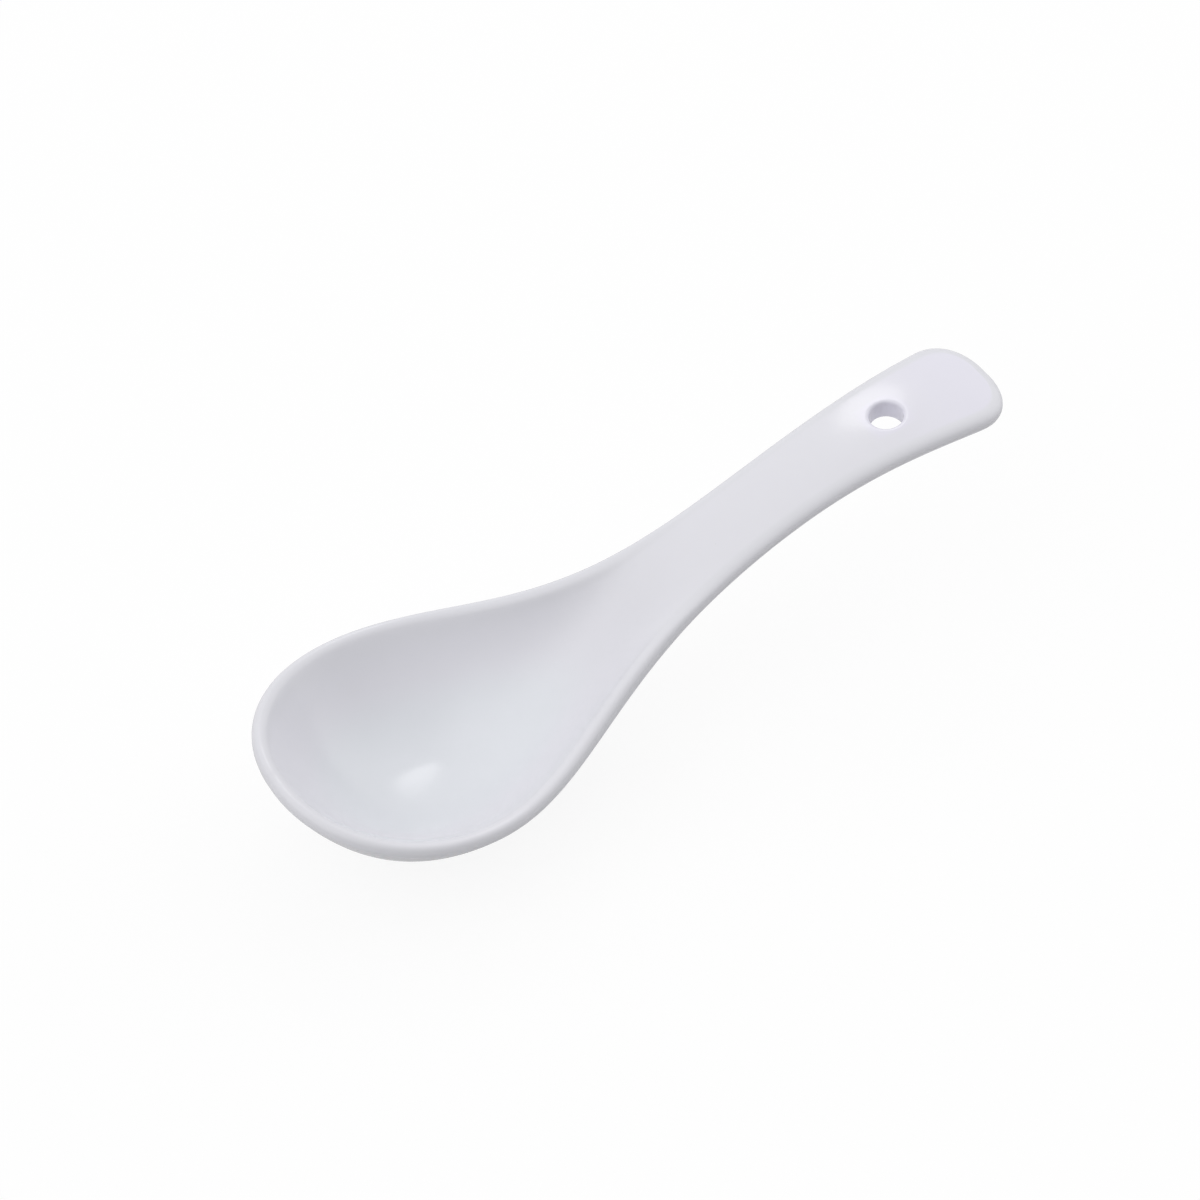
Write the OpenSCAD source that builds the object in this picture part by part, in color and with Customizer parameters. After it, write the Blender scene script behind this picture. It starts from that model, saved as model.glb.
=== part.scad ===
// Chinese soup spoon: a deep oval bowl that runs up through a trough into a rising, flaring handle.
// One fired body carries one coat of glaze, which stops short of the flat foot it stands on.
// Millimetres. The origin is the middle of the foot, +X runs to the handle and +Z is up.
// Every outside size is that of the finished spoon, measured over the glaze.

/* [Overall] */
// Length from the tip of the bowl to the end of the handle
spoon_length = 131.4; // [120:0.2:146]
// Distance from the middle of the foot forward to the tip of the bowl
tip_reach = 34.6; // [32:0.2:39]

/* [Bowl outline] */
// Greatest width of the bowl, over its lip
bowl_width = 47.2; // [42:0.2:52]
// Distance from the middle of the foot forward to the widest place
widest_ahead = 9.5; // [7:0.5:12]
// Fullness of the rounded front: 2 is an ellipse, more is squarer
front_fullness = 2.1; // [2:0.05:2.6]
// Length over which the sides draw in behind the widest place
shoulder_run = 30.5; // [27:0.5:34]

/* [Rim and floor] */
// Height of the lip above the table at its lowest place
rim_height = 17.6; // [16:0.2:22]
// How much higher than that the lip is at the tip
tip_rise = 4.8; // [0:0.2:7]
// Where the lip starts to rise to the tip, behind the middle of the foot
tip_rise_from = 0.5; // [-6:0.5:8]
// Thickness of the lip, which is fully rounded
lip_thickness = 2.8; // [2.2:0.1:3.6]
// Thickness of the floor of the bowl, from its inside down to the table
floor_thickness = 5.2; // [4.4:0.1:6.5]
// Fullness of the bowl: 0 is a plain curve, more has a flatter floor and steeper sides
bowl_fullness = 0.05; // [0:0.05:0.3]

/* [Neck] */
// Where the floor starts to climb to the handle, behind the middle of the foot
climb_from = 10; // [8:0.5:15]
// Steepness of the climb in degrees
climb_angle = 40; // [36:1:46]
// Softness of the bend out of the floor of the bowl
climb_softness = 6; // [3:0.5:8]
// Softness of the bend onto the handle
crest_softness = 2.5; // [1:0.5:5]
// Thickness of the wall at the root of the neck, where the climb starts
root_thickness = 6.2; // [5:0.1:7.5]
// Length over which that thickening fades each way
root_run = 8; // [5:0.5:11]

/* [Handle] */
// Width of the handle before it flares, over its rounded edges
handle_width = 14.2; // [11:0.2:18]
// Width that the flare adds by the end
flare_width = 6.4; // [0:0.2:10]
// Where the flare is half done, behind the middle of the foot
flare_at = 78.5; // [65:0.5:90]
// Length over which the flare comes in
flare_run = 9.4; // [6:0.2:14]
// How far the end of the handle rises above the lowest place of the lip
handle_rise = 22; // [14:0.5:30]
// Where the rise starts, ahead of the middle of the foot
rise_ahead = 10.2; // [4:0.2:16]
// Where the rise ends, behind the middle of the foot
rise_to = 91.2; // [80:0.2:110]
// Thickness of the handle at its rounded edges
handle_edge = 3.2; // [2.4:0.1:4.2]
// Thickness of the handle along its crowned middle
handle_middle = 3.8; // [3:0.1:5]
// Length of the rounded end
end_round = 6; // [3:0.2:10]
// Fullness of the rounded end: 2 is an ellipse, more is squarer
end_fullness = 2.35; // [2:0.05:3]

/* [Foot] */
// Length of the flat foot
foot_length = 27; // [24:0.5:32]
// Width of the flat foot
foot_width = 14; // [11:0.5:18]
// How far the foot stands proud of the underside at its middle
foot_proud = 0.6; // [0.3:0.05:1.2]

/* [Hanging hole] */
// Diameter of the hole through the handle
hole_diameter = 5.4; // [4:0.1:7]
// Distance from the end of the handle to the middle of the hole
hole_from_end = 19.4; // [12:0.2:28]

/* [Glaze] */
// Thickness of the coat of glaze
glaze_thickness = 0.3; // [0.2:0.05:0.5]
// Height of the band above the table that is wiped bare of glaze
bare_band = 0.5; // [0.3:0.1:1]

/* [Hidden] */

// Rows along the spoon, columns across it and steps round the lip
rows = 48;
columns = 16;
lip_steps = 4;
// How far short of the points where the outline closes the first and last rows lie
end_gap = 0.06;
// Small steps for taking slopes
turn_step = 0.1;
s_step = 0.01;

x_tip = lip_thickness / 2 - tip_reach - end_gap;
x_end = spoon_length - tip_reach - handle_edge / 2 + end_gap;
end_inset = acos(1 - 2 * end_gap / (x_end - x_tip));
x_wide = -widest_ahead;
bowl_half = (bowl_width - lip_thickness) / 2;
handle_half = (handle_width - handle_edge) / 2;
bowl_middle = floor_thickness - foot_proud;
floor_mid = foot_proud + bowl_middle / 2;
// Depth to which the foot is let into the floor, short of the inside of the bowl
foot_skin = 0.5;
foot_depth = floor_thickness - glaze_thickness - foot_skin;

function unit_range(t) = max(0, min(1, t));
function ease(t) = t * t * t * (t * (6 * t - 15) + 10);
function rounding(t, fullness) = pow(max(0, 1 - pow(t, fullness)), 1 / fullness);
function soft_max(a, b, s) = (a + b + sqrt((a - b) * (a - b) + s * s)) / 2;
function soft_min(a, b, s) = (a + b - sqrt((a - b) * (a - b) + s * s)) / 2;
function unit(v) = v / norm(v);

// Share of the way from the widest place to the tip, and along the rounded end
function to_tip(x) = unit_range((x_wide - x) / (x_wide - x_tip));
function to_end(x) = unit_range((x - x_end + end_round) / end_round);
function ends(x) = rounding(to_tip(x), front_fullness) * rounding(to_end(x), end_fullness);
// Share of the way from bowl to handle, for the thicknesses
function to_handle(x) = ease(unit_range((x - climb_from) / (flare_at - climb_from)));

// Half the width of the middle surface
function half_width(x) =
    let (drawn_in = exp(-pow(max(0, x - x_wide) / shoulder_run, 2)))
    let (flared = flare_width / 2 / (1 + exp((flare_at - x) / flare_run)))
    (handle_half + (bowl_half - handle_half) * drawn_in + flared) * ends(x);

// Height of the middle surface at its two edges
function edge_height(x) =
    let (forward = max(0, (tip_rise_from - x) / (tip_rise_from - x_tip)))
    let (back = unit_range((x + rise_ahead) / (rise_to + rise_ahead)))
    rim_height - lip_thickness / 2 + tip_rise * forward * forward + handle_rise * ease(back);

// Height of the centre line where it climbs out of the bowl, level at the widest place
function climb(x) = soft_max(0, tan(climb_angle) * (x - climb_from), climb_softness);
function rising(x) = floor_mid + climb(x) - climb(x_wide);

// Depth below the edges along the centre line: the bowl, the climb at the neck, then the level handle
function hollow(x) =
    let (edge = edge_height(x))
    (edge - soft_min(edge, rising(x), crest_softness)) * (1 - pow(to_end(x), end_fullness));

// Share of that depth at a place across: none at the lip, and even all round the tip
function depth_share(x, s) =
    let (front = pow(to_tip(x), front_fullness))
    let (out_by = front + (1 - front) * pow(abs(s), front_fullness))
    (1 - out_by) * (1 + bowl_fullness * out_by);

function edge_thickness(x) = lip_thickness + (handle_edge - lip_thickness) * to_handle(x);
function middle_thickness(x) =
    let (root = (root_thickness - bowl_middle) * exp(-pow((x - climb_from) / root_run, 2)))
    bowl_middle + (handle_middle - bowl_middle) * to_handle(x) + root;
function thickness(x, s) =
    let (edge = edge_thickness(x))
    edge + (middle_thickness(x) - edge) * (1 - s * s) * ends(x);

function row_turn(i) = end_inset + (180 - 2 * end_inset) * i / rows;
function turn_x(turn) = x_tip + (x_end - x_tip) * (1 - cos(turn)) / 2;
// Columns lie closer together towards the lip
column_crowding = 0.25;
function column_s(j) =
    let (t = 2 * j / columns - 1)
    t * (1 + column_crowding * (1 - t * t));

// A point of the middle surface: rows crowd together at both ends, s runs from -1 to 1 across
function mid_point(turn, s) =
    let (x = turn_x(turn))
    [x, half_width(x) * s, edge_height(x) - hollow(x) * depth_share(x, s)];

// The direction square to the middle surface at that point
function square_to_mid(turn, s) =
    let (along = mid_point(turn + turn_step, s) - mid_point(turn - turn_step, s))
    let (over = mid_point(turn, s + s_step) - mid_point(turn, s - s_step))
    unit(cross(along, over));

mid = [for (i = [0:rows]) [for (j = [0:columns]) mid_point(row_turn(i), column_s(j))]];
square_to = [for (i = [0:rows]) [for (j = [0:columns]) square_to_mid(row_turn(i), column_s(j))]];

// The edge of the middle surface, once round: near side, end, far side, tip
ring = concat(
    [for (i = [0:rows]) [i, 0]],
    [for (j = [1:columns]) [rows, j]],
    [for (i = [rows - 1:-1:0]) [i, columns]],
    [for (j = [columns - 1:-1:1]) [0, j]]);
ring_size = len(ring);
function ring_at(k) = ring[(k + ring_size) % ring_size];
function mid_at(c) = mid[c[0]][c[1]];
function square_at(c) = square_to[c[0]][c[1]];

// Places of the points in the list: upper sheet, lower sheet, then the lip
sheet = (rows + 1) * (columns + 1);
function upper(c) = c[0] * (columns + 1) + c[1];
function lower(c) = sheet + upper(c);
function lip(k, a) =
    a == 0 ? upper(ring_at(k)) :
    a == lip_steps ? lower(ring_at(k)) :
    2 * sheet + (k % ring_size) * (lip_steps - 1) + a - 1;

function sheet_points(side, inset) = [for (i = [0:rows], j = [0:columns])
    let (half = thickness(mid[i][j][0], column_s(j)) / 2 - inset)
    mid[i][j] + side * half * square_to[i][j]];

function lip_points(inset) = [for (k = [0:ring_size - 1], a = [1:lip_steps - 1])
    let (c = ring_at(k), up = square_at(c))
    let (before = unit(mid_at(c) - mid_at(ring_at(k - 1))))
    let (after = unit(mid_at(ring_at(k + 1)) - mid_at(c)))
    let (out = unit(cross(before + after, up)))
    let (turn = 180 * a / lip_steps, radius = edge_thickness(mid_at(c)[0]) / 2 - inset)
    mid_at(c) + radius * (cos(turn) * up + sin(turn) * out)];

sheet_faces = [for (i = [0:rows - 1], j = [0:columns - 1])
    let (a = [i, j], b = [i + 1, j], c = [i + 1, j + 1], d = [i, j + 1])
    each [
        [upper(a), upper(d), upper(c)],
        [upper(a), upper(c), upper(b)],
        [lower(a), lower(b), lower(c)],
        [lower(a), lower(c), lower(d)]]];

lip_faces = [for (k = [0:ring_size - 1], a = [0:lip_steps - 1])
    each [
        [lip(k, a), lip(k + 1, a), lip(k + 1, a + 1)],
        [lip(k, a), lip(k + 1, a + 1), lip(k, a + 1)]]];

// The whole spoon but for its foot and hole, set in from the finished surface
module spoon_form(inset) {
    polyhedron(
        points = concat(sheet_points(1, inset), sheet_points(-1, inset), lip_points(inset)),
        faces = concat(sheet_faces, lip_faces),
        convexity = 6);
}

// The oval foot, wider by a margin all round and cut off flat at the bottom and at its top
module foot_block(from, margin) {
    length = foot_length + 2 * margin;
    width = foot_width + 2 * margin;
    height = foot_depth - from;
    intersection() {
        translate([0, 0, from - height])
            scale([length / 2, width / 2, 1])
                cylinder(r = 1, h = 3 * height, $fn = 96);
        translate([-length, -width, from])
            cube([2 * length, 2 * width, height]);
    }
}

// The hanging hole, square to the handle where it goes through
x_hole = spoon_length - tip_reach - hole_from_end;
function handle_height(x) = edge_height(x) - hollow(x);
hole_step = 1;
hole_pitch = atan((handle_height(x_hole + hole_step) - handle_height(x_hole - hole_step)) / (2 * hole_step));
hole_cut = 4 * handle_middle;
module hanging_hole(diameter) {
    translate([x_hole, 0, handle_height(x_hole)])
        rotate([0, -hole_pitch, 0])
            cylinder(d = diameter, h = hole_cut, center = true, $fn = 64);
}

module body_solid() {
    spoon_form(glaze_thickness);
    foot_block(0, 0);
}

// Fired white body, bare only under the foot
module porcelain_body() {
    color("#e9e6df")
        difference() {
            body_solid();
            hanging_hole(hole_diameter + 2 * glaze_thickness);
        }
}

// Coat of clear white glaze over everything but the foot, lining the hole as well
module glaze_coat() {
    color("#f3f3f7")
        difference() {
            union() {
                spoon_form(0);
                foot_block(bare_band, glaze_thickness);
            }
            body_solid();
            hanging_hole(hole_diameter);
        }
}

porcelain_body();
glaze_coat();
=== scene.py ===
import math

import bpy
from mathutils import Matrix, Vector


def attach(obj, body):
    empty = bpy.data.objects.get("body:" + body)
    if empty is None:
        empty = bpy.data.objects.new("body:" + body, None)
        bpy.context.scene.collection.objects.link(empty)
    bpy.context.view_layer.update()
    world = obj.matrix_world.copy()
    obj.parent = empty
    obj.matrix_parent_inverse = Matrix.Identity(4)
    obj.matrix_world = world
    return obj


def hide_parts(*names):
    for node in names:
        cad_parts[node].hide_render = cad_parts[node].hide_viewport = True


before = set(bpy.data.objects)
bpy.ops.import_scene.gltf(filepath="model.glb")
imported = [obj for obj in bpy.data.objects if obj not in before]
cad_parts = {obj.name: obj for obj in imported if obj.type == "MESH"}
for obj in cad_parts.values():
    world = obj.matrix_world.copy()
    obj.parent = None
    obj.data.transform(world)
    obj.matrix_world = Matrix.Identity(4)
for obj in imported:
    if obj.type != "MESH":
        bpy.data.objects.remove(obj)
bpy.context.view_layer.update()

MM = 0.001

# Sizes of the spoon in millimetres, or degrees for the climb, as in the part's source, but with the
# length, the reach and the width a few hundredths less, the same as its facets cut off the lip
SPOON_SIZES = {
    "Spoon length": 131.33,
    "Tip reach": 34.54,
    "Bowl width": 47.18,
    "Widest ahead": 9.5,
    "Front fullness": 2.1,
    "Shoulder run": 30.5,
    "Rim height": 17.6,
    "Tip rise": 4.8,
    "Tip rise from": 0.5,
    "Lip thickness": 2.8,
    "Floor thickness": 5.2,
    "Bowl fullness": 0.05,
    "Climb from": 10.0,
    "Climb angle": 40.0,
    "Climb softness": 6.0,
    "Crest softness": 2.5,
    "Root thickness": 6.2,
    "Root run": 8.0,
    "Handle width": 14.2,
    "Flare width": 6.4,
    "Flare at": 78.5,
    "Flare run": 9.4,
    "Handle rise": 22.0,
    "Rise ahead": 10.2,
    "Rise to": 91.2,
    "Handle edge": 3.2,
    "Handle middle": 3.8,
    "End round": 6.0,
    "End fullness": 2.35,
    "Foot length": 27.0,
    "Foot width": 14.0,
    "Foot proud": 0.6,
    "Hole diameter": 5.4,
    "Hole from end": 19.4,
    "Glaze thickness": 0.3,
    "Bare band": 0.5,
    # Small rounds that only the glazed surface has
    "Hole mouth round": 0.55,
    "Foot edge round": 0.18,
    "Foot fillet": 0.4,
    # Glaze on the bowl's floor: thicker ahead of its middle and behind it, and on the near side
    "Pool height": 0.5,
    "Pool middle": -4.4,
    "Pool run": 9.0,
    "Pool half width": 14.0,
    "Pool lean": 0.22,
    "Lean middle": 1.0,
    "Lean run": 4.5,
    # How far the glazed top falls towards the lip of the bowl, and to the handle's edges
    "Lip fall": 0.18,
    "Handle fall": 0.2,
}
END_GAP = 0.06          # first and last rows stop this short of where the outline closes
TURN_STEP = 0.004       # small steps for slopes, in radians and in shares of the half width
ACROSS_STEP = 0.01
IN_STEP = 0.02          # step in from the rim, for the slope that the lip carries on
END_IN = 0.7            # share across that is as far out, one such step in from an end
LIP_FALL_FROM = 0.2     # share of the crown that is left where the top starts to fall to the lip

# Mesh: columns across half the spoon, steps round the lip and rows from the tip to the end
HALF_COLUMNS = 32
LIP_STEPS = 14
TIP_ROWS = 16
FOOT_RINGS = 26         # the oval foot is a square of this many rings in the underside
NECK_ROWS = 58
HOLE_RINGS = 20         # the hanging hole is a square of this many rings in both sides
END_ROWS = 24
FOOT_BLOCK = 24.0       # half the length of those squares, mm
HOLE_BLOCK = 5.0
# Rings of the hole: open inside the first, wall, rounded mouth, then spread to the square
HOLE_OPEN, HOLE_WALL, HOLE_ROUND = 6, 8, 13
# Rings of the foot: flat, rounded edge, wall, fillet, then spread to the square
FOOT_FLAT, FOOT_EDGE, FOOT_WALL, FOOT_ROUND = 6, 10, 13, 18
EDGE_SHARE, FILLET_SHARE = 0.3, 0.5     # most of the foot's glazed wall that its rounds may take
FOOT_SPREAD = 4.0       # how far the rings run out beyond the fillet, mm
UNDERSIDE_TRIES = 3
BOX_EDGE = 0.9999       # share of the way out from the box's middle that counts as its edge
LEAST_DIVISOR = 1e-4
LEAST_WIDTH = 1e-3      # mm
RING_SLACK = 0.01       # rings
JOIN_WITHIN = 1e-6      # metres
# Where the glaze thins towards the lip, darkened there as painted shade (share across), lies deep
# in the bowl (mm) and starts to gather on the handle, brightened there as painted light (mm)
THIN_AND_SHADED_FROM = 0.86
DEEP_BETWEEN = (5.0, 12.0)
GATHERS_AND_LIT_BEFORE = 12.0


class Number:
    """A number in a node tree, worked with like a plain one."""

    def __init__(self, socket):
        self.socket = socket
        self.tree = socket.id_data

    def __add__(self, other):
        return calc("ADD", self, other)

    def __sub__(self, other):
        return calc("SUBTRACT", self, other)

    def __mul__(self, other):
        return calc("MULTIPLY", self, other)

    def __truediv__(self, other):
        return calc("DIVIDE", self, other)

    def __pow__(self, other):
        return calc("POWER", self, other)

    def __rsub__(self, other):
        return calc("SUBTRACT", other, self)

    def __rtruediv__(self, other):
        return calc("DIVIDE", other, self)

    def __neg__(self):
        return calc("MULTIPLY", self, -1.0)

    __radd__ = __add__
    __rmul__ = __mul__


class Arrow(Number):
    """A vector in a node tree."""

    def __add__(self, other):
        return arrow_calc("ADD", self, other)

    def __sub__(self, other):
        return arrow_calc("SUBTRACT", self, other)

    def __mul__(self, length):
        node = self.tree.nodes.new("ShaderNodeVectorMath")
        node.operation = "SCALE"
        feed(node.inputs["Vector"], self)
        feed(node.inputs["Scale"], length)
        return Arrow(node.outputs["Vector"])

    __rmul__ = __mul__


def feed(socket, value):
    """Joins a value to an input, or writes a plain number there."""
    if isinstance(value, Number):
        value.tree.links.new(value.socket, socket)
    else:
        socket.default_value = value


def calc(operation, *values):
    tree = next(v.tree for v in values if isinstance(v, Number))
    node = tree.nodes.new("ShaderNodeMath")
    node.operation = operation
    for socket, value in zip(node.inputs, values):
        feed(socket, value)
    return Number(node.outputs[0])


def arrow_calc(operation, *values):
    node = values[0].tree.nodes.new("ShaderNodeVectorMath")
    node.operation = operation
    for socket, value in zip(node.inputs, values):
        feed(socket, value)
    return Arrow(node.outputs["Vector"])


def unit(v):
    return arrow_calc("NORMALIZE", v)


def cross(a, b):
    return arrow_calc("CROSS_PRODUCT", a, b)


def dot(a, b):
    node = a.tree.nodes.new("ShaderNodeVectorMath")
    node.operation = "DOT_PRODUCT"
    feed(node.inputs[0], a)
    feed(node.inputs[1], b)
    return Number(node.outputs["Value"])


def parts(v):
    node = v.tree.nodes.new("ShaderNodeSeparateXYZ")
    feed(node.inputs[0], v)
    return [Number(o) for o in node.outputs]


def arrow(tree, x, y, z):
    node = tree.nodes.new("ShaderNodeCombineXYZ")
    for socket, value in zip(node.inputs, (x, y, z)):
        feed(socket, value)
    return Arrow(node.outputs[0])


def constant(tree, value):
    node = tree.nodes.new("ShaderNodeValue")
    node.outputs[0].default_value = value
    return Number(node.outputs[0])


def share(value, start, end, smooth=False):
    """How far a value is from start to end, from 0 to 1; smooth starts and stops gently."""
    node = value.tree.nodes.new("ShaderNodeMapRange")
    node.interpolation_type = "SMOOTHERSTEP" if smooth else "LINEAR"
    feed(node.inputs["Value"], value)
    feed(node.inputs["From Min"], start)
    feed(node.inputs["From Max"], end)
    return Number(node.outputs["Result"])


def between(weight, a, b):
    return a + (b - a) * weight


def root(value):
    return calc("SQRT", value)


def soft_max(a, b, s):
    return (a + b + root((a - b) * (a - b) + s * s)) * 0.5


def soft_min(a, b, s):
    return (a + b - root((a - b) * (a - b) + s * s)) * 0.5


def rounding(t, fullness):
    return calc("MAXIMUM", 0.0, 1.0 - t ** fullness) ** (1.0 / fullness)


def new_group(name, inputs, outputs):
    """A node tree with its inputs as numbers; the sizes of the spoon follow its own inputs."""
    tree = bpy.data.node_groups.new(name, "GeometryNodeTree")
    for label, kind in inputs.items():
        tree.interface.new_socket(label, in_out="INPUT", socket_type=kind)
    for label, value in SPOON_SIZES.items():
        size = tree.interface.new_socket(label, in_out="INPUT", socket_type="NodeSocketFloat")
        size.default_value = value
    for label, kind in outputs.items():
        tree.interface.new_socket(label, in_out="OUTPUT", socket_type=kind)
    entry = tree.nodes.new("NodeGroupInput")
    numbers = {s.name: Number(s) for s in entry.outputs if s.name}
    return tree, numbers, tree.nodes.new("NodeGroupOutput")


def place(group, tree, sizes, **own):
    """Puts a group into a tree, with the sizes passed on."""
    node = tree.nodes.new("GeometryNodeGroup")
    node.node_tree = group
    for label in SPOON_SIZES:
        feed(node.inputs[label], sizes[label])
    for label, value in own.items():
        feed(node.inputs[label], value)
    return node


def limits(z):
    """Where the middle surface starts and ends along X."""
    x_tip = z["Lip thickness"] * 0.5 - z["Tip reach"] - END_GAP
    x_end = z["Spoon length"] - z["Tip reach"] - z["Handle edge"] * 0.5 + END_GAP
    return x_tip, x_end


def ends(x, z):
    """Shares of the way to the tip and to the end, and how the width closes there."""
    x_tip, x_end = limits(z)
    to_tip = share(x, -z["Widest ahead"], x_tip)
    to_end = share(x, x_end - z["End round"], x_end)
    closing = rounding(to_tip, z["Front fullness"]) * rounding(to_end, z["End fullness"])
    return to_tip, to_end, closing


def half_width(x, closing, z):
    bowl_half = (z["Bowl width"] - z["Lip thickness"]) * 0.5
    handle_half = (z["Handle width"] - z["Handle edge"]) * 0.5
    behind = calc("MAXIMUM", 0.0, x + z["Widest ahead"]) / z["Shoulder run"]
    drawn_in = calc("EXPONENT", -(behind * behind))
    flared = z["Flare width"] * 0.5 / (calc("EXPONENT", (z["Flare at"] - x) / z["Flare run"]) + 1.0)
    return (handle_half + (bowl_half - handle_half) * drawn_in + flared) * closing


def middle_surface_group():
    """The middle of the wall at a turn along the spoon and a share across it."""
    tree, z, out = new_group(
        "Middle of the wall",
        {"Turn": "NodeSocketFloat", "Across": "NodeSocketFloat"},
        {"Point": "NodeSocketVector", "Depth": "NodeSocketFloat", "Crown": "NodeSocketFloat"})
    x_tip, x_end = limits(z)
    x = x_tip + (x_end - x_tip) * (1.0 - calc("COSINE", z["Turn"])) * 0.5
    to_tip, to_end, closing = ends(x, z)
    forward = calc("MAXIMUM", 0.0, (z["Tip rise from"] - x) / (z["Tip rise from"] - x_tip))
    risen = share(x, -z["Rise ahead"], z["Rise to"], smooth=True)
    edge = (z["Rim height"] - z["Lip thickness"] * 0.5 + z["Tip rise"] * forward * forward
            + z["Handle rise"] * risen)
    floor = z["Foot proud"] + (z["Floor thickness"] - z["Foot proud"]) * 0.5
    steepness = calc("TANGENT", calc("RADIANS", z["Climb angle"]))

    def climbed(at):
        return soft_max(floor, floor + steepness * (at - z["Climb from"]), z["Climb softness"])

    rising = floor + climbed(x) - climbed(-z["Widest ahead"])
    hollow = edge - soft_min(edge, rising, z["Crest softness"])
    front = to_tip ** z["Front fullness"]
    out_by = front + (1.0 - front) * calc("ABSOLUTE", z["Across"]) ** z["Front fullness"]
    crown = (1.0 - out_by) * (1.0 - to_end ** z["End fullness"])
    depth = hollow * crown * (1.0 + z["Bowl fullness"] * out_by)
    feed(out.inputs["Point"], arrow(tree, x, half_width(x, closing, z) * z["Across"], edge - depth))
    feed(out.inputs["Depth"], depth)
    feed(out.inputs["Crown"], crown)
    return tree


def wall_group(middle):
    """The middle of the wall, the direction square to it and how far its two faces are from it."""
    tree, z, out = new_group(
        "Wall",
        {"Turn": "NodeSocketFloat", "Across": "NodeSocketFloat"},
        {"Point": "NodeSocketVector", "Square": "NodeSocketVector",
         "Along": "NodeSocketVector", "Over": "NodeSocketVector",
         "Lower half": "NodeSocketFloat", "Upper half": "NodeSocketFloat",
         "Lip": "NodeSocketFloat", "Depth": "NodeSocketFloat"})

    def at(turn, across):
        return Arrow(place(middle, tree, z, Turn=turn, Across=across).outputs["Point"])

    here = place(middle, tree, z, Turn=z["Turn"], Across=z["Across"])
    point = Arrow(here.outputs["Point"])
    along = unit(at(z["Turn"] + TURN_STEP, z["Across"]) - at(z["Turn"] - TURN_STEP, z["Across"]))
    over = unit(at(z["Turn"], z["Across"] + ACROSS_STEP) - at(z["Turn"], z["Across"] - ACROSS_STEP))
    x = parts(point)[0]
    to_handle = share(x, z["Climb from"], z["Flare at"], smooth=True)
    edge = between(to_handle, z["Lip thickness"], z["Handle edge"])
    bowl_middle = z["Floor thickness"] - z["Foot proud"]
    from_root = (x - z["Climb from"]) / z["Root run"]
    root_more = (z["Root thickness"] - bowl_middle) * calc("EXPONENT", -(from_root * from_root))
    middle_thickness = between(to_handle, bowl_middle, z["Handle middle"]) + root_more
    crown = Number(here.outputs["Crown"])
    feed(out.inputs["Point"], point)
    feed(out.inputs["Square"], unit(cross(along, over)))
    feed(out.inputs["Along"], along)
    feed(out.inputs["Over"], over)
    half = between(crown, edge, middle_thickness) * 0.5
    feed(out.inputs["Lower half"], half)
    near_lip = share(crown, LIP_FALL_FROM, 0.0)
    in_bowl = share(x, z["Shoulder run"], -z["Widest ahead"], smooth=True)
    fallen = (z["Lip fall"] * in_bowl * near_lip * near_lip
              + z["Handle fall"] * to_handle * (1.0 - crown))
    feed(out.inputs["Upper half"], half - fallen)
    feed(out.inputs["Lip"], edge * 0.5)
    feed(out.inputs["Depth"], Number(here.outputs["Depth"]))
    return tree


def ring(p, q):
    """How far out a place in a square is, and where it points once its ring has become round."""
    out = calc("MAXIMUM", calc("ABSOLUTE", p), calc("ABSOLUTE", q))
    eighth = math.pi / 4 / calc("MAXIMUM", out, LEAST_DIVISOR)
    way = unit(arrow(p.tree, calc("TANGENT", p * eighth), calc("TANGENT", q * eighth), 0.0))
    return out, parts(way)[0], parts(way)[1]


def quarter(count, start, end):
    """Sine and cosine of a quarter turn that runs while a ring count goes from start to end."""
    turn = share(count, start, end) * (math.pi / 2)
    return calc("SINE", turn), calc("COSINE", turn)


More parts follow.
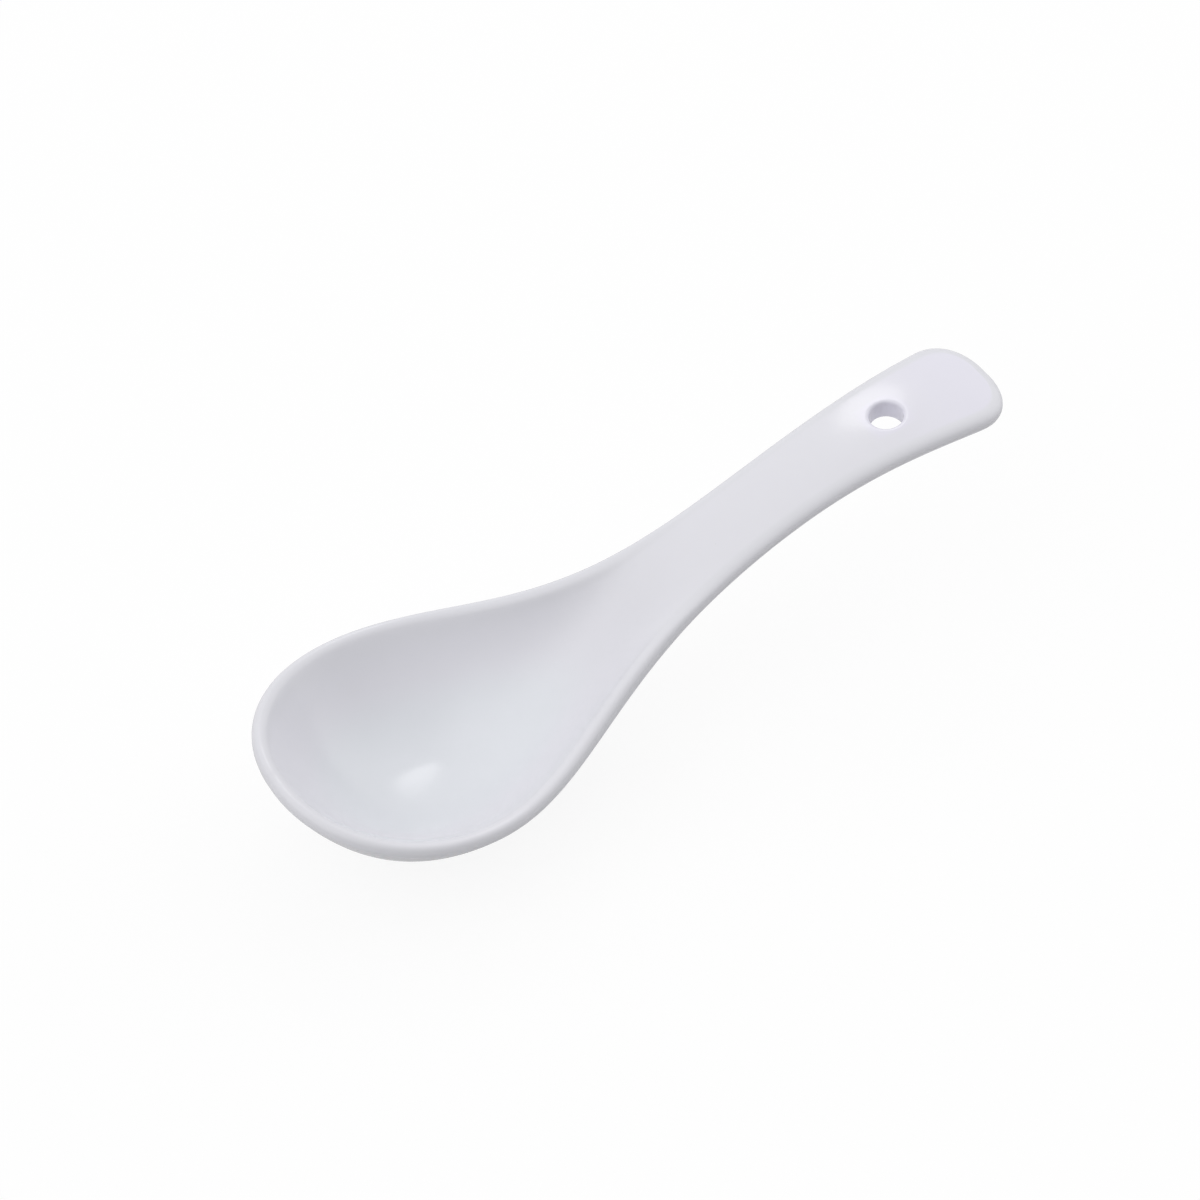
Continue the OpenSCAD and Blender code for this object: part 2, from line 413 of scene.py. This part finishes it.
def spoon_group(wall):
    """The glazed spoon: a box whose sides become the inside, the underside and the rounded lip."""
    tree, z, out = new_group(
        "Glazed soup spoon",
        {"Glaze": "NodeSocketMaterial"},
        {"Geometry": "NodeSocketGeometry"})
    x_tip, x_end = limits(z)
    span = x_end - x_tip

    def turn_at(x):
        return calc("ARCCOSINE", 1.0 - 2.0 * (x - x_tip) / span)

    x_hole = z["Spoon length"] - z["Tip reach"] - z["Hole from end"]
    foot_row = TIP_ROWS + FOOT_RINGS
    hole_row = foot_row + FOOT_RINGS + NECK_ROWS + HOLE_RINGS
    rows = hole_row + HOLE_RINGS + END_ROWS

    box = tree.nodes.new("GeometryNodeMeshCube")
    box.inputs["Size"].default_value = (2.0, 2.0, 2.0)
    box.inputs["Vertices X"].default_value = rows + 1
    box.inputs["Vertices Y"].default_value = 2 * HALF_COLUMNS + 1
    box.inputs["Vertices Z"].default_value = LIP_STEPS + 1
    cell = tree.nodes.new("GeometryNodeCaptureAttribute")
    cell.capture_items.new("VECTOR", "Cell")
    tree.links.new(box.outputs["Mesh"], cell.inputs["Geometry"])
    tree.links.new(tree.nodes.new("GeometryNodeInputPosition").outputs[0], cell.inputs["Cell"])
    u, v, w = parts(Arrow(cell.outputs["Cell"]))
    row = (u + 1.0) * (rows / 2)
    column = v * HALF_COLUMNS

    # Rows: from the tip, through the two squares, to the end
    foot_from, foot_to = constant(tree, -FOOT_BLOCK), constant(tree, FOOT_BLOCK)
    stops = [turn_at(at) for at in (x_tip + END_GAP, foot_from, foot_to,
                                    x_hole - HOLE_BLOCK, x_hole + HOLE_BLOCK, x_end - END_GAP)]
    counts = [0, foot_row - FOOT_RINGS, foot_row + FOOT_RINGS,
              hole_row - HOLE_RINGS, hole_row + HOLE_RINGS, rows]
    turn = stops[0]
    for k in range(len(stops) - 1):
        turn = turn + (stops[k + 1] - stops[k]) * share(row, counts[k], counts[k + 1])

    # Round the square about the hanging hole
    x = x_tip + span * (1.0 - calc("COSINE", turn)) * 0.5
    y = half_width(x, ends(x, z)[2], z) * v
    out_by, dir_x, dir_y = ring((row - hole_row) / HOLE_RINGS, column / HOLE_RINGS)
    count = out_by * HOLE_RINGS
    wall_share = share(count, HOLE_OPEN, HOLE_WALL)
    sine, cosine = quarter(count, HOLE_WALL, HOLE_ROUND)
    spread = share(count, HOLE_ROUND, HOLE_RINGS)
    mouth = z["Hole mouth round"]
    radius = z["Hole diameter"] * 0.5 + mouth * (1.0 - cosine)
    radius = radius + spread * (HOLE_BLOCK - z["Hole diameter"] * 0.5 - mouth)
    ease = share(spread, 0.0, 1.0, smooth=True)
    x = between(ease, x_hole + radius * dir_x, x)
    y = between(ease, radius * dir_y, y)
    s = y / calc("MAXIMUM", half_width(x, ends(x, z)[2], z), LEAST_WIDTH)
    in_square = calc("LESS_THAN", out_by, BOX_EDGE)
    turn = between(in_square, turn, turn_at(x))
    s = between(in_square, v, s)

    here = place(wall, tree, z, Turn=turn, Across=s)
    middle, square = Arrow(here.outputs["Point"]), Arrow(here.outputs["Square"])
    side = calc("SIGN", w)

    def half_at(node):
        """Half the thickness on the side that a point is on."""
        return between(calc("GREATER_THAN", w, 0.0), Number(node.outputs["Lower half"]),
                       Number(node.outputs["Upper half"]))

    half = wall_share * (half_at(here) - mouth) + mouth * sine
    middle_x, middle_y, _ = parts(middle)
    along = (middle_x - z["Pool middle"]) / z["Pool run"]
    along = along * along
    over = middle_y / z["Pool half width"]
    pool_width = calc("MAXIMUM", 0.0, 1.0 - over * over)
    pool = z["Pool height"] * along * calc("EXPONENT", 1.0 - along) * pool_width * pool_width
    off = (middle_y - z["Lean middle"]) / z["Lean run"]
    leaning = z["Pool lean"] * off * calc("EXPONENT", (1.0 - off * off - along) * 0.5)
    on_inside = calc("GREATER_THAN", w, BOX_EDGE)
    sheet = middle + square * (half * side + (pool - leaning) * on_inside)

    # The lip: half round, all the way along both sides and both ends
    on_side = calc("GREATER_THAN", calc("ABSOLUTE", v), BOX_EDGE)
    on_end = calc("GREATER_THAN", calc("ABSOLUTE", u), BOX_EDGE)
    edge_way = unit(Arrow(here.outputs["Along"]) * (-1.0 * calc("SIGN", v) * on_side)
                    + Arrow(here.outputs["Over"]) * (calc("SIGN", u) * on_end))
    outward = unit(cross(edge_way, square))
    inner_share = between(on_end, 1.0 - on_side * IN_STEP, END_IN)
    inner_turn = turn - calc("SIGN", u) * on_end * IN_STEP
    inner = place(wall, tree, z, Turn=inner_turn, Across=s * inner_share)
    back = (middle + square * (half_at(here) * side) - Arrow(inner.outputs["Point"])
            - Arrow(inner.outputs["Square"]) * (half_at(inner) * side))
    fall = -side * dot(back, square) / calc("MAXIMUM", dot(back, outward), LEAST_DIVISOR)
    lean = (1.0 - w) * (math.pi / 2)
    sine, cosine = calc("SINE", lean), calc("COSINE", lean)
    lip = Number(here.outputs["Lip"])
    rim_up = cosine * (half_at(here) - fall * lip * sine * calc("ABSOLUTE", cosine))
    rim = middle + square * rim_up + outward * (lip * sine)
    on_rim = calc("MAXIMUM", on_side, on_end)
    surface = sheet + (rim - sheet) * on_rim

    # The foot: rings of the underside become an oval with a flat, a wall and a fillet
    def underside(x, y):
        """Height of the wall's lower face over a place, found in a few tries."""
        at_x, at_y = x, y
        for _ in range(UNDERSIDE_TRIES):
            width = half_width(at_x, ends(at_x, z)[2], z)
            under = place(wall, tree, z, Turn=turn_at(at_x), Across=at_y / width)
            under_x, under_y, under_z = parts(
                Arrow(under.outputs["Point"])
                - Arrow(under.outputs["Square"]) * Number(under.outputs["Lower half"]))
            at_x, at_y = at_x + x - under_x, at_y + y - under_y
        return under_z

    out_by, dir_x, dir_y = ring((row - foot_row) / FOOT_RINGS, column / FOOT_RINGS)
    count = out_by * FOOT_RINGS
    flat = share(count, 0.0, FOOT_FLAT)
    edge_sine, edge_cosine = quarter(count, FOOT_FLAT, FOOT_EDGE)
    wall_share = share(count, FOOT_EDGE, FOOT_WALL)
    sine, cosine = quarter(count, FOOT_WALL, FOOT_ROUND)
    spread = share(count, FOOT_ROUND, FOOT_RINGS)
    half_length = z["Foot length"] * 0.5 + z["Glaze thickness"]
    half_breadth = z["Foot width"] * 0.5 + z["Glaze thickness"]
    bare = z["Bare band"]
    room = underside(half_length * dir_x, half_breadth * dir_y) - bare
    edge_round = calc("MINIMUM", z["Foot edge round"], room * EDGE_SHARE)
    fillet = calc("MINIMUM", z["Foot fillet"], room * FILLET_SHARE)
    grown = fillet * (1.0 - cosine) - edge_round * (1.0 - edge_sine) + spread * FOOT_SPREAD
    plain_x, plain_y, _ = parts(sheet)
    ease = share(spread, 0.0, 1.0, smooth=True)
    foot_x = between(ease, (half_length + grown) * dir_x * flat, plain_x)
    foot_y = between(ease, (half_breadth + grown) * dir_y * flat, plain_y)
    foot_z = (bare + edge_round * (1.0 - edge_cosine)
              + wall_share * (underside(foot_x, foot_y) - fillet - bare - edge_round)
              + fillet * sine)
    is_foot = calc("LESS_THAN", out_by, BOX_EDGE) * calc("LESS_THAN", w, -BOX_EDGE)
    surface = surface + (arrow(tree, foot_x, foot_y, foot_z) - surface) * is_foot

    moved = tree.nodes.new("GeometryNodeSetPosition")
    tree.links.new(cell.outputs["Geometry"], moved.inputs["Geometry"])
    feed(moved.inputs["Position"], surface * MM)

    # How the glaze lies: thin on the lip, with painted shade there; deep in the bowl and the
    # fillet;
    # gathered at the end of the handle and in the hole, with painted light there
    hole_count = ring((row - hole_row) / HOLE_RINGS, column / HOLE_RINGS)[0] * HOLE_RINGS
    # Painted shade along the lip: this mask darkens the glaze there
    near_rim = calc("MAXIMUM", share(calc("ABSOLUTE", v), THIN_AND_SHADED_FROM, 1.0, smooth=True), on_end)
    # Painted light in the hanging hole: its shaded wall takes the brighter gathered colour
    near_hole = 1.0 - share(hole_count, HOLE_ROUND, HOLE_RINGS, smooth=True)
    in_bowl = share(Number(here.outputs["Depth"]), *DEEP_BETWEEN, smooth=True) * share(w, 0.0, 1.0)
    in_fillet = is_foot * share(count, FOOT_EDGE, FOOT_WALL) * (1.0 - spread)
    near_end = share(middle_x, z["Flare at"] - GATHERS_AND_LIT_BEFORE, x_end, smooth=True)
    marks = {
        "thin_glaze_and_painted_shade": near_rim,
        "deep_glaze": calc("MAXIMUM", in_bowl, in_fillet),
        "gathered_glaze_and_painted_light": calc("MAXIMUM", near_end, near_hole),
    }
    marked = moved.outputs["Geometry"]
    for name, value in marks.items():
        store = tree.nodes.new("GeometryNodeStoreNamedAttribute")
        store.inputs["Name"].default_value = name
        tree.links.new(marked, store.inputs["Geometry"])
        feed(store.inputs["Value"], value)
        marked = store.outputs["Geometry"]

    # Open the hole and join the two halves of its wall
    opened = tree.nodes.new("GeometryNodeDeleteGeometry")
    opened.domain = "FACE"
    tree.links.new(marked, opened.inputs["Geometry"])
    feed(opened.inputs["Selection"], calc("LESS_THAN", hole_count, HOLE_OPEN - RING_SLACK))
    joined = tree.nodes.new("GeometryNodeMergeByDistance")
    joined.inputs["Distance"].default_value = JOIN_WITHIN
    tree.links.new(opened.outputs["Geometry"], joined.inputs["Geometry"])

    smooth = tree.nodes.new("GeometryNodeSetShadeSmooth")
    tree.links.new(joined.outputs["Geometry"], smooth.inputs["Geometry"])
    real = tree.nodes.new("GeometryNodeRealizeInstances")
    tree.links.new(smooth.outputs["Geometry"], real.inputs["Geometry"])
    finish = tree.nodes.new("GeometryNodeSetMaterial")
    tree.links.new(real.outputs["Geometry"], finish.inputs["Geometry"])
    tree.links.new(z["Glaze"].socket, finish.inputs["Material"])
    tree.links.new(finish.outputs["Geometry"], out.inputs["Geometry"])
    return tree


def make_spoon(glaze):
    tree = spoon_group(wall_group(middle_surface_group()))
    carrier = bpy.data.objects.new("spoon_form", bpy.data.meshes.new("spoon_form"))
    bpy.context.scene.collection.objects.link(carrier)
    modifier = carrier.modifiers.new("Glazed soup spoon", "NODES")
    modifier.node_group = tree
    values = {**SPOON_SIZES, "Glaze": glaze}
    for item in tree.interface.items_tree:
        if item.in_out == "INPUT" and item.name in values:
            modifier[item.identifier] = values[item.name]
    shape = bpy.data.meshes.new_from_object(
        carrier.evaluated_get(bpy.context.evaluated_depsgraph_get()))
    bpy.data.objects.remove(carrier)
    shape.name = "white_glaze"
    spoon = bpy.data.objects.new("white_glaze", shape)
    bpy.context.scene.collection.objects.link(spoon)
    return spoon


def shader_group(name, inputs, outputs):
    """An effect that several materials share, with its inputs as numbers or arrows."""
    tree = bpy.data.node_groups.new(name, "ShaderNodeTree")
    for label, (kind, value) in inputs.items():
        socket = tree.interface.new_socket(label, in_out="INPUT", socket_type=kind)
        if value is not None:
            socket.default_value = value
    for label, kind in outputs.items():
        tree.interface.new_socket(label, in_out="OUTPUT", socket_type=kind)
    entry = tree.nodes.new("NodeGroupInput")
    numbers = {s.name: (Arrow if s.type == "VECTOR" else Number)(s)
               for s in entry.outputs if s.name}
    return tree, numbers, tree.nodes.new("NodeGroupOutput")


def noise(at, per_metre, detail=2.0, stretch=None):
    """A soft random pattern from 0 to 1, with about so many patches in a metre."""
    tree = at.tree
    if stretch:
        turned = tree.nodes.new("ShaderNodeMapping")
        turned.inputs["Scale"].default_value = stretch
        feed(turned.inputs["Vector"], at)
        at = Arrow(turned.outputs["Vector"])
    node = tree.nodes.new("ShaderNodeTexNoise")
    node.inputs["Detail"].default_value = detail
    feed(node.inputs["Vector"], at)
    feed(node.inputs["Scale"], per_metre)
    return Number(node.outputs["Fac"])


WIDE_CLOUDS, FINE_CLOUDS = 1.3, 0.7     # weights of the two sizes of patch
FINE_PER_WIDE = 4.0


def cloud_group():
    """Cloudy patches in two sizes, as fired clay and glaze have; about zero on average."""
    tree, n, out = shader_group(
        "Kiln clouds",
        {"At": ("NodeSocketVector", None), "Patches per metre": ("NodeSocketFloat", 90.0),
         "Strength": ("NodeSocketFloat", 0.02)},
        {"Shift": "NodeSocketFloat"})
    wide = noise(n["At"], n["Patches per metre"], detail=1.0)
    fine = noise(n["At"], n["Patches per metre"] * FINE_PER_WIDE, detail=3.0)
    feed(out.inputs["Shift"], (wide * WIDE_CLOUDS + fine * FINE_CLOUDS - 1.0) * n["Strength"])
    return tree


def speck_group():
    """Small round specks, sparse, from half to one and a half times the size, with soft edges."""
    tree, n, out = shader_group(
        "Specks",
        {"At": ("NodeSocketVector", None), "Cells per metre": ("NodeSocketFloat", 300.0),
         "Size": ("NodeSocketFloat", 0.08), "Kept": ("NodeSocketFloat", 0.1)},
        {"Speck": "NodeSocketFloat"})
    cells = tree.nodes.new("ShaderNodeTexVoronoi")
    feed(cells.inputs["Vector"], n["At"])
    feed(cells.inputs["Scale"], n["Cells per metre"])
    chance = parts(Arrow(cells.outputs["Color"]))
    radius = n["Size"] * (0.5 + chance[1])
    round_spot = 1.0 - share(Number(cells.outputs["Distance"]), radius * 0.5, radius)
    feed(out.inputs["Speck"], round_spot * calc("LESS_THAN", chance[0], n["Kept"]))
    return tree


def use_group(group, tree, **own):
    node = tree.nodes.new("ShaderNodeGroup")
    node.node_tree = group
    for label, value in own.items():
        feed(node.inputs[label.replace("_", " ")], value)
    return Number(node.outputs[0])


def mark(tree, name):
    """A value that the spoon's own tree left on the mesh."""
    node = tree.nodes.new("ShaderNodeAttribute")
    node.attribute_name = name
    return Number(node.outputs["Fac"])


def blend(weight, start, end):
    """A colour between two."""
    node = weight.tree.nodes.new("ShaderNodeMix")
    node.data_type = "RGBA"
    sockets = {s.identifier: s for s in node.inputs}
    feed(sockets["Factor_Float"], weight)
    feed(sockets["A_Color"], start)
    feed(sockets["B_Color"], end)
    return Arrow(next(s for s in node.outputs if s.identifier == "Result_Color"))


def raise_surface(shader, height, metres):
    bump = height.tree.nodes.new("ShaderNodeBump")
    bump.inputs["Distance"].default_value = metres
    feed(bump.inputs["Height"], height)
    height.tree.links.new(bump.outputs["Normal"], shader.inputs["Normal"])


def new_material(name):
    mat = bpy.data.materials.new(name)
    mat.use_nodes = True
    tree = mat.node_tree
    coords = tree.nodes.new("ShaderNodeTexCoord")
    return mat, tree, tree.nodes["Principled BSDF"], Arrow(coords.outputs["Object"])


# Colours of the glaze: over the spoon, where it lies deep, where it gathers (brightened as painted
# light), where it is thin (darkened as painted shade), and of its specks
GLAZE_WHITE = (0.803, 0.800, 0.850, 1.0)
DEEP_WHITE = (0.782, 0.802, 0.842, 1.0)
# Gathered glaze, more violet, with painted light: brighter at the end of the handle and in the hole
GATHERED_AND_LIT_WHITE = (0.818, 0.806, 0.890, 1.0)
# Painted shade: the thin glaze on the lip is coloured darker than the rest
THIN_GLAZE_SHADED_WHITE = (0.780, 0.779, 0.824, 1.0)
GLAZE_SPECK = (0.50, 0.45, 0.40, 1.0)
SPECK_SHOWS = 0.35
GLAZE_ROUGHNESS = 0.15
WORN_ROUGHNESS = 0.04   # what use adds in the bowl, and what its fine marks add to that
SCUFF_ROUGHNESS = 0.02
SCUFF_GRAIN = (90.0, 2400.0, 90.0)      # marks per metre along each axis
SCUFFS_BETWEEN = (0.60, 0.75)           # part of that pattern that is scuffed
GLAZE_RELIEF = 3e-5     # metres
RIPPLES_PER_METRE = 130.0
PEEL_PER_METRE = 800.0
PEEL_SHARE = 0.3        # how high the fine peel is beside the ripple


def glaze_material(clouds, specks):
    mat, tree, shader, at = new_material("white glaze")
    thin_and_shaded, deep, gathered_and_lit = (mark(tree, m) for m in ("thin_glaze_and_painted_shade", "deep_glaze", "gathered_glaze_and_painted_light"))
    speck = use_group(specks, tree, At=at, Cells_per_metre=160.0, Size=0.022, Kept=0.22)
    cloud = use_group(clouds, tree, At=at, Patches_per_metre=70.0, Strength=0.022)
    colour = blend(deep, GLAZE_WHITE, DEEP_WHITE)
    # Painted light: the glaze at the end of the handle and in the hole is coloured brighter
    colour = blend(gathered_and_lit, colour, GATHERED_AND_LIT_WHITE)
    # Painted shade: the lip's thin glaze is coloured darker
    colour = blend(thin_and_shaded, colour, THIN_GLAZE_SHADED_WHITE)
    colour = blend(speck * SPECK_SHOWS, colour, GLAZE_SPECK)
    feed(shader.inputs["Base Color"], colour * (cloud + 1.0))
    scuffs = share(noise(at, 1.0, stretch=SCUFF_GRAIN), *SCUFFS_BETWEEN) * deep
    worn = deep * WORN_ROUGHNESS + scuffs * SCUFF_ROUGHNESS
    feed(shader.inputs["Roughness"], cloud + worn + GLAZE_ROUGHNESS)
    ripple = noise(at, RIPPLES_PER_METRE, detail=0.0)
    peel = noise(at, PEEL_PER_METRE, detail=1.0)
    raise_surface(shader, ripple + peel * PEEL_SHARE - speck, GLAZE_RELIEF)
    return mat


# Colours of the bare foot: clean, rubbed by tables, and its specks
BARE_WHITE = (0.78, 0.755, 0.705, 1.0)
RUBBED_GREY = (0.60, 0.585, 0.56, 1.0)
BARE_SPECK = (0.40, 0.31, 0.23, 1.0)
RUB_GRAIN = (220.0, 700.0, 220.0)       # marks per metre along each axis
RUBBED_BETWEEN = (0.52, 0.72)           # part of that pattern that is rubbed
RUBBED_SHOWS = 0.45
RUBBED_SMOOTHS = 0.12
BARE_ROUGHNESS = 0.78
GRAIN_PER_METRE = 5000.0
GRAIN_SHOWS = 0.08      # how far the grain changes the colour
BARE_RELIEF = 4e-5      # metres
PIT_SHARE = 0.5         # how deep a speck lies beside that


def bare_material(clouds, specks):
    mat, tree, shader, at = new_material("bare porcelain")
    speck = use_group(specks, tree, At=at, Cells_per_metre=1100.0, Size=0.16, Kept=0.07)
    cloud = use_group(clouds, tree, At=at, Patches_per_metre=220.0, Strength=0.07)
    grain = noise(at, GRAIN_PER_METRE, detail=2.0)
    rubbed = share(noise(at, 1.0, detail=3.0, stretch=RUB_GRAIN), *RUBBED_BETWEEN)
    colour = blend(rubbed * RUBBED_SHOWS, BARE_WHITE, RUBBED_GREY)
    colour = blend(speck, colour, BARE_SPECK)
    feed(shader.inputs["Base Color"], colour * (cloud + (grain - 0.5) * GRAIN_SHOWS + 1.0))
    feed(shader.inputs["Roughness"], cloud - rubbed * RUBBED_SMOOTHS + BARE_ROUGHNESS)
    raise_surface(shader, grain - speck * PIT_SHARE, BARE_RELIEF)
    return mat


# Camera of the photograph: angles in degrees, distance and sensor in millimetres, picture in pixels
AZIMUTH, ELEVATION, ROLL = -31.252, 49.255, -0.912
LOOK_AT = Vector((23.5, 0.0, 23.6)) * MM
DISTANCE = 459.99
PIXELS_PER_MM = 6.4176
CENTRE_X, CENTRE_Y = 598.64, 618.89
PICTURE = 1200
SENSOR = 36.0
NEAREST = 0.01          # metres


def make_camera():
    data = bpy.data.cameras.new("camera")
    data.sensor_width = SENSOR
    data.lens = PIXELS_PER_MM * DISTANCE * SENSOR / PICTURE
    data.shift_x = (PICTURE / 2 - CENTRE_X) / PICTURE
    data.shift_y = (CENTRE_Y - PICTURE / 2) / PICTURE
    data.clip_start = NEAREST
    camera = bpy.data.objects.new("camera", data)
    a, e, r = (math.radians(t) for t in (AZIMUTH, ELEVATION, ROLL))
    back = Vector((math.sin(a) * math.cos(e), -math.cos(a) * math.cos(e), math.sin(e)))
    right = Vector((math.cos(a), math.sin(a), 0.0))
    up = back.cross(right)
    right, up = right * math.cos(r) + up * math.sin(r), up * math.cos(r) - right * math.sin(r)
    turned = Matrix((right, up, back)).transposed()
    camera.matrix_world = Matrix.Translation(LOOK_AT + back * DISTANCE * MM) @ turned.to_4x4()
    bpy.context.scene.collection.objects.link(camera)
    bpy.context.scene.camera = camera


# The studio: broad glows as azimuth, elevation and strength
GLOWS = {
    "left softbox": (180.0, 45.0, 1.42),
    "right softbox": (0.0, 45.0, 0.76),
    "low right screen": (0.0, 12.0, 0.98),
    "back screen": (90.0, 12.0, 0.84),
    "top softbox": (120.0, 75.0, 0.50),
    "front fill": (-120.0, 45.0, 0.18),
}
GLOW_FOCUS = 4.0        # power of the cosine with which a glow falls off
# A small lamp that shows in the bowl and on the handle: direction in degrees, sizes in metres
LAMP_AZIMUTH, LAMP_ELEVATION = 61.0, 46.0
LAMP_WIDTH, LAMP_HEIGHT = 0.18, 0.22
LAMP_STRENGTH = 0.044
LAMP_DISTANCE = 0.8
FLOOR_REACH = 3.0       # metres from the middle
FLOOR_GAP = 5e-5        # metres under the foot, so that the two don't share a plane
FLOOR_COLOUR = (0.7, 0.7, 0.7, 1.0)
FLOOR_LIT = 0.7         # how bright that floor is in the open
SHINE_SHOWS = 0.3       # how much of its white shows in reflections
FOOT_LIT = 0.6          # how much of its white lights the foot that stands on it
SHADOW_SHOWS = 0.16     # how much of its own light and shade the floor keeps under the white


def direction(azimuth, elevation):
    a, e = math.radians(azimuth), math.radians(elevation)
    return Vector((math.cos(a) * math.cos(e), math.sin(a) * math.cos(e), math.sin(e)))


def light_path(tree):
    """What a ray is, and whether it sees the white studio, straight or through glass."""
    node = tree.nodes.new("ShaderNodeLightPath")
    ray = {o.name: Number(o) for o in node.outputs}
    return ray, calc("MAXIMUM", ray["Is Camera Ray"], ray["Is Transmission Ray"])


def make_floor():
    mesh = bpy.data.meshes.new("floor")
    far = FLOOR_REACH
    corners = [(x, y, -FLOOR_GAP) for x, y in ((-far, -far), (far, -far), (far, far), (-far, far))]
    mesh.from_pydata(corners, [], [(0, 1, 2, 3)])
    mat = bpy.data.materials.new("white floor")
    mat.use_nodes = True
    tree = mat.node_tree
    lit = tree.nodes["Principled BSDF"]
    lit.inputs["Base Color"].default_value = FLOOR_COLOUR
    lit.inputs["Roughness"].default_value = 1.0
    lit.inputs["Specular IOR Level"].default_value = 0.0
    white = tree.nodes.new("ShaderNodeEmission")
    white.inputs["Strength"].default_value = (1.0 - SHADOW_SHOWS * FLOOR_LIT) / (1.0 - SHADOW_SHOWS)
    ray, seen = light_path(tree)
    seen = seen + ray["Is Glossy Ray"] * SHINE_SHOWS
    under_foot = ray["Is Diffuse Ray"] * calc("LESS_THAN", ray["Ray Length"], FLOOR_GAP * 2.0)
    both = tree.nodes.new("ShaderNodeMixShader")
    feed(both.inputs["Fac"], (seen + under_foot * FOOT_LIT) * (1.0 - SHADOW_SHOWS))
    tree.links.new(lit.outputs["BSDF"], both.inputs[1])
    tree.links.new(white.outputs["Emission"], both.inputs[2])
    # From below the floor isn't seen, so that the foot is, by the light that the floor gives it
    below = Number(tree.nodes.new("ShaderNodeNewGeometry").outputs["Backfacing"])
    open_below = tree.nodes.new("ShaderNodeMixShader")
    feed(open_below.inputs["Fac"], below * ray["Is Camera Ray"])
    clear = tree.nodes.new("ShaderNodeBsdfTransparent")
    tree.links.new(both.outputs["Shader"], open_below.inputs[1])
    tree.links.new(clear.outputs["BSDF"], open_below.inputs[2])
    tree.links.new(open_below.outputs["Shader"], tree.nodes["Material Output"].inputs["Surface"])
    mesh.materials.append(mat)
    floor = bpy.data.objects.new("floor", mesh)
    bpy.context.scene.collection.objects.link(floor)


def make_world():
    world = bpy.data.worlds.new("studio")
    world.use_nodes = True
    tree = world.node_tree
    coords = tree.nodes.new("ShaderNodeTexCoord")
    light = None
    for azimuth, elevation, strength in GLOWS.values():
        facing = dot(Arrow(coords.outputs["Generated"]), direction(azimuth, elevation))
        glow = calc("MAXIMUM", 0.0, facing) ** GLOW_FOCUS * strength
        light = light + glow if light else glow
    _, seen = light_path(tree)
    background = tree.nodes["Background"]
    background.inputs["Color"].default_value = (1.0, 1.0, 1.0, 1.0)
    feed(background.inputs["Strength"], between(seen, light, 1.0))
    bpy.context.scene.world = world


def make_lamp():
    data = bpy.data.lights.new("lamp behind the spoon", "AREA")
    data.shape = "ELLIPSE"
    data.size = LAMP_WIDTH
    data.size_y = LAMP_HEIGHT
    data.energy = LAMP_STRENGTH * (math.pi * LAMP_DISTANCE) ** 2
    lamp = bpy.data.objects.new("lamp behind the spoon", data)
    toward = direction(LAMP_AZIMUTH, LAMP_ELEVATION)
    turned = toward.to_track_quat("Z", "Y").to_matrix().to_4x4()
    lamp.matrix_world = Matrix.Translation(LOOK_AT + toward * LAMP_DISTANCE) @ turned
    bpy.context.scene.collection.objects.link(lamp)


bpy.context.scene.view_settings.view_transform = "Standard"
make_world()
make_floor()
make_lamp()
make_camera()
kiln_clouds, small_specks = cloud_group(), speck_group()
spoon = make_spoon(glaze_material(kiln_clouds, small_specks))
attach(spoon, "root")
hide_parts("glaze_coat")
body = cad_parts["porcelain_body"]
body.data.materials.clear()
body.data.materials.append(bare_material(kiln_clouds, small_specks))
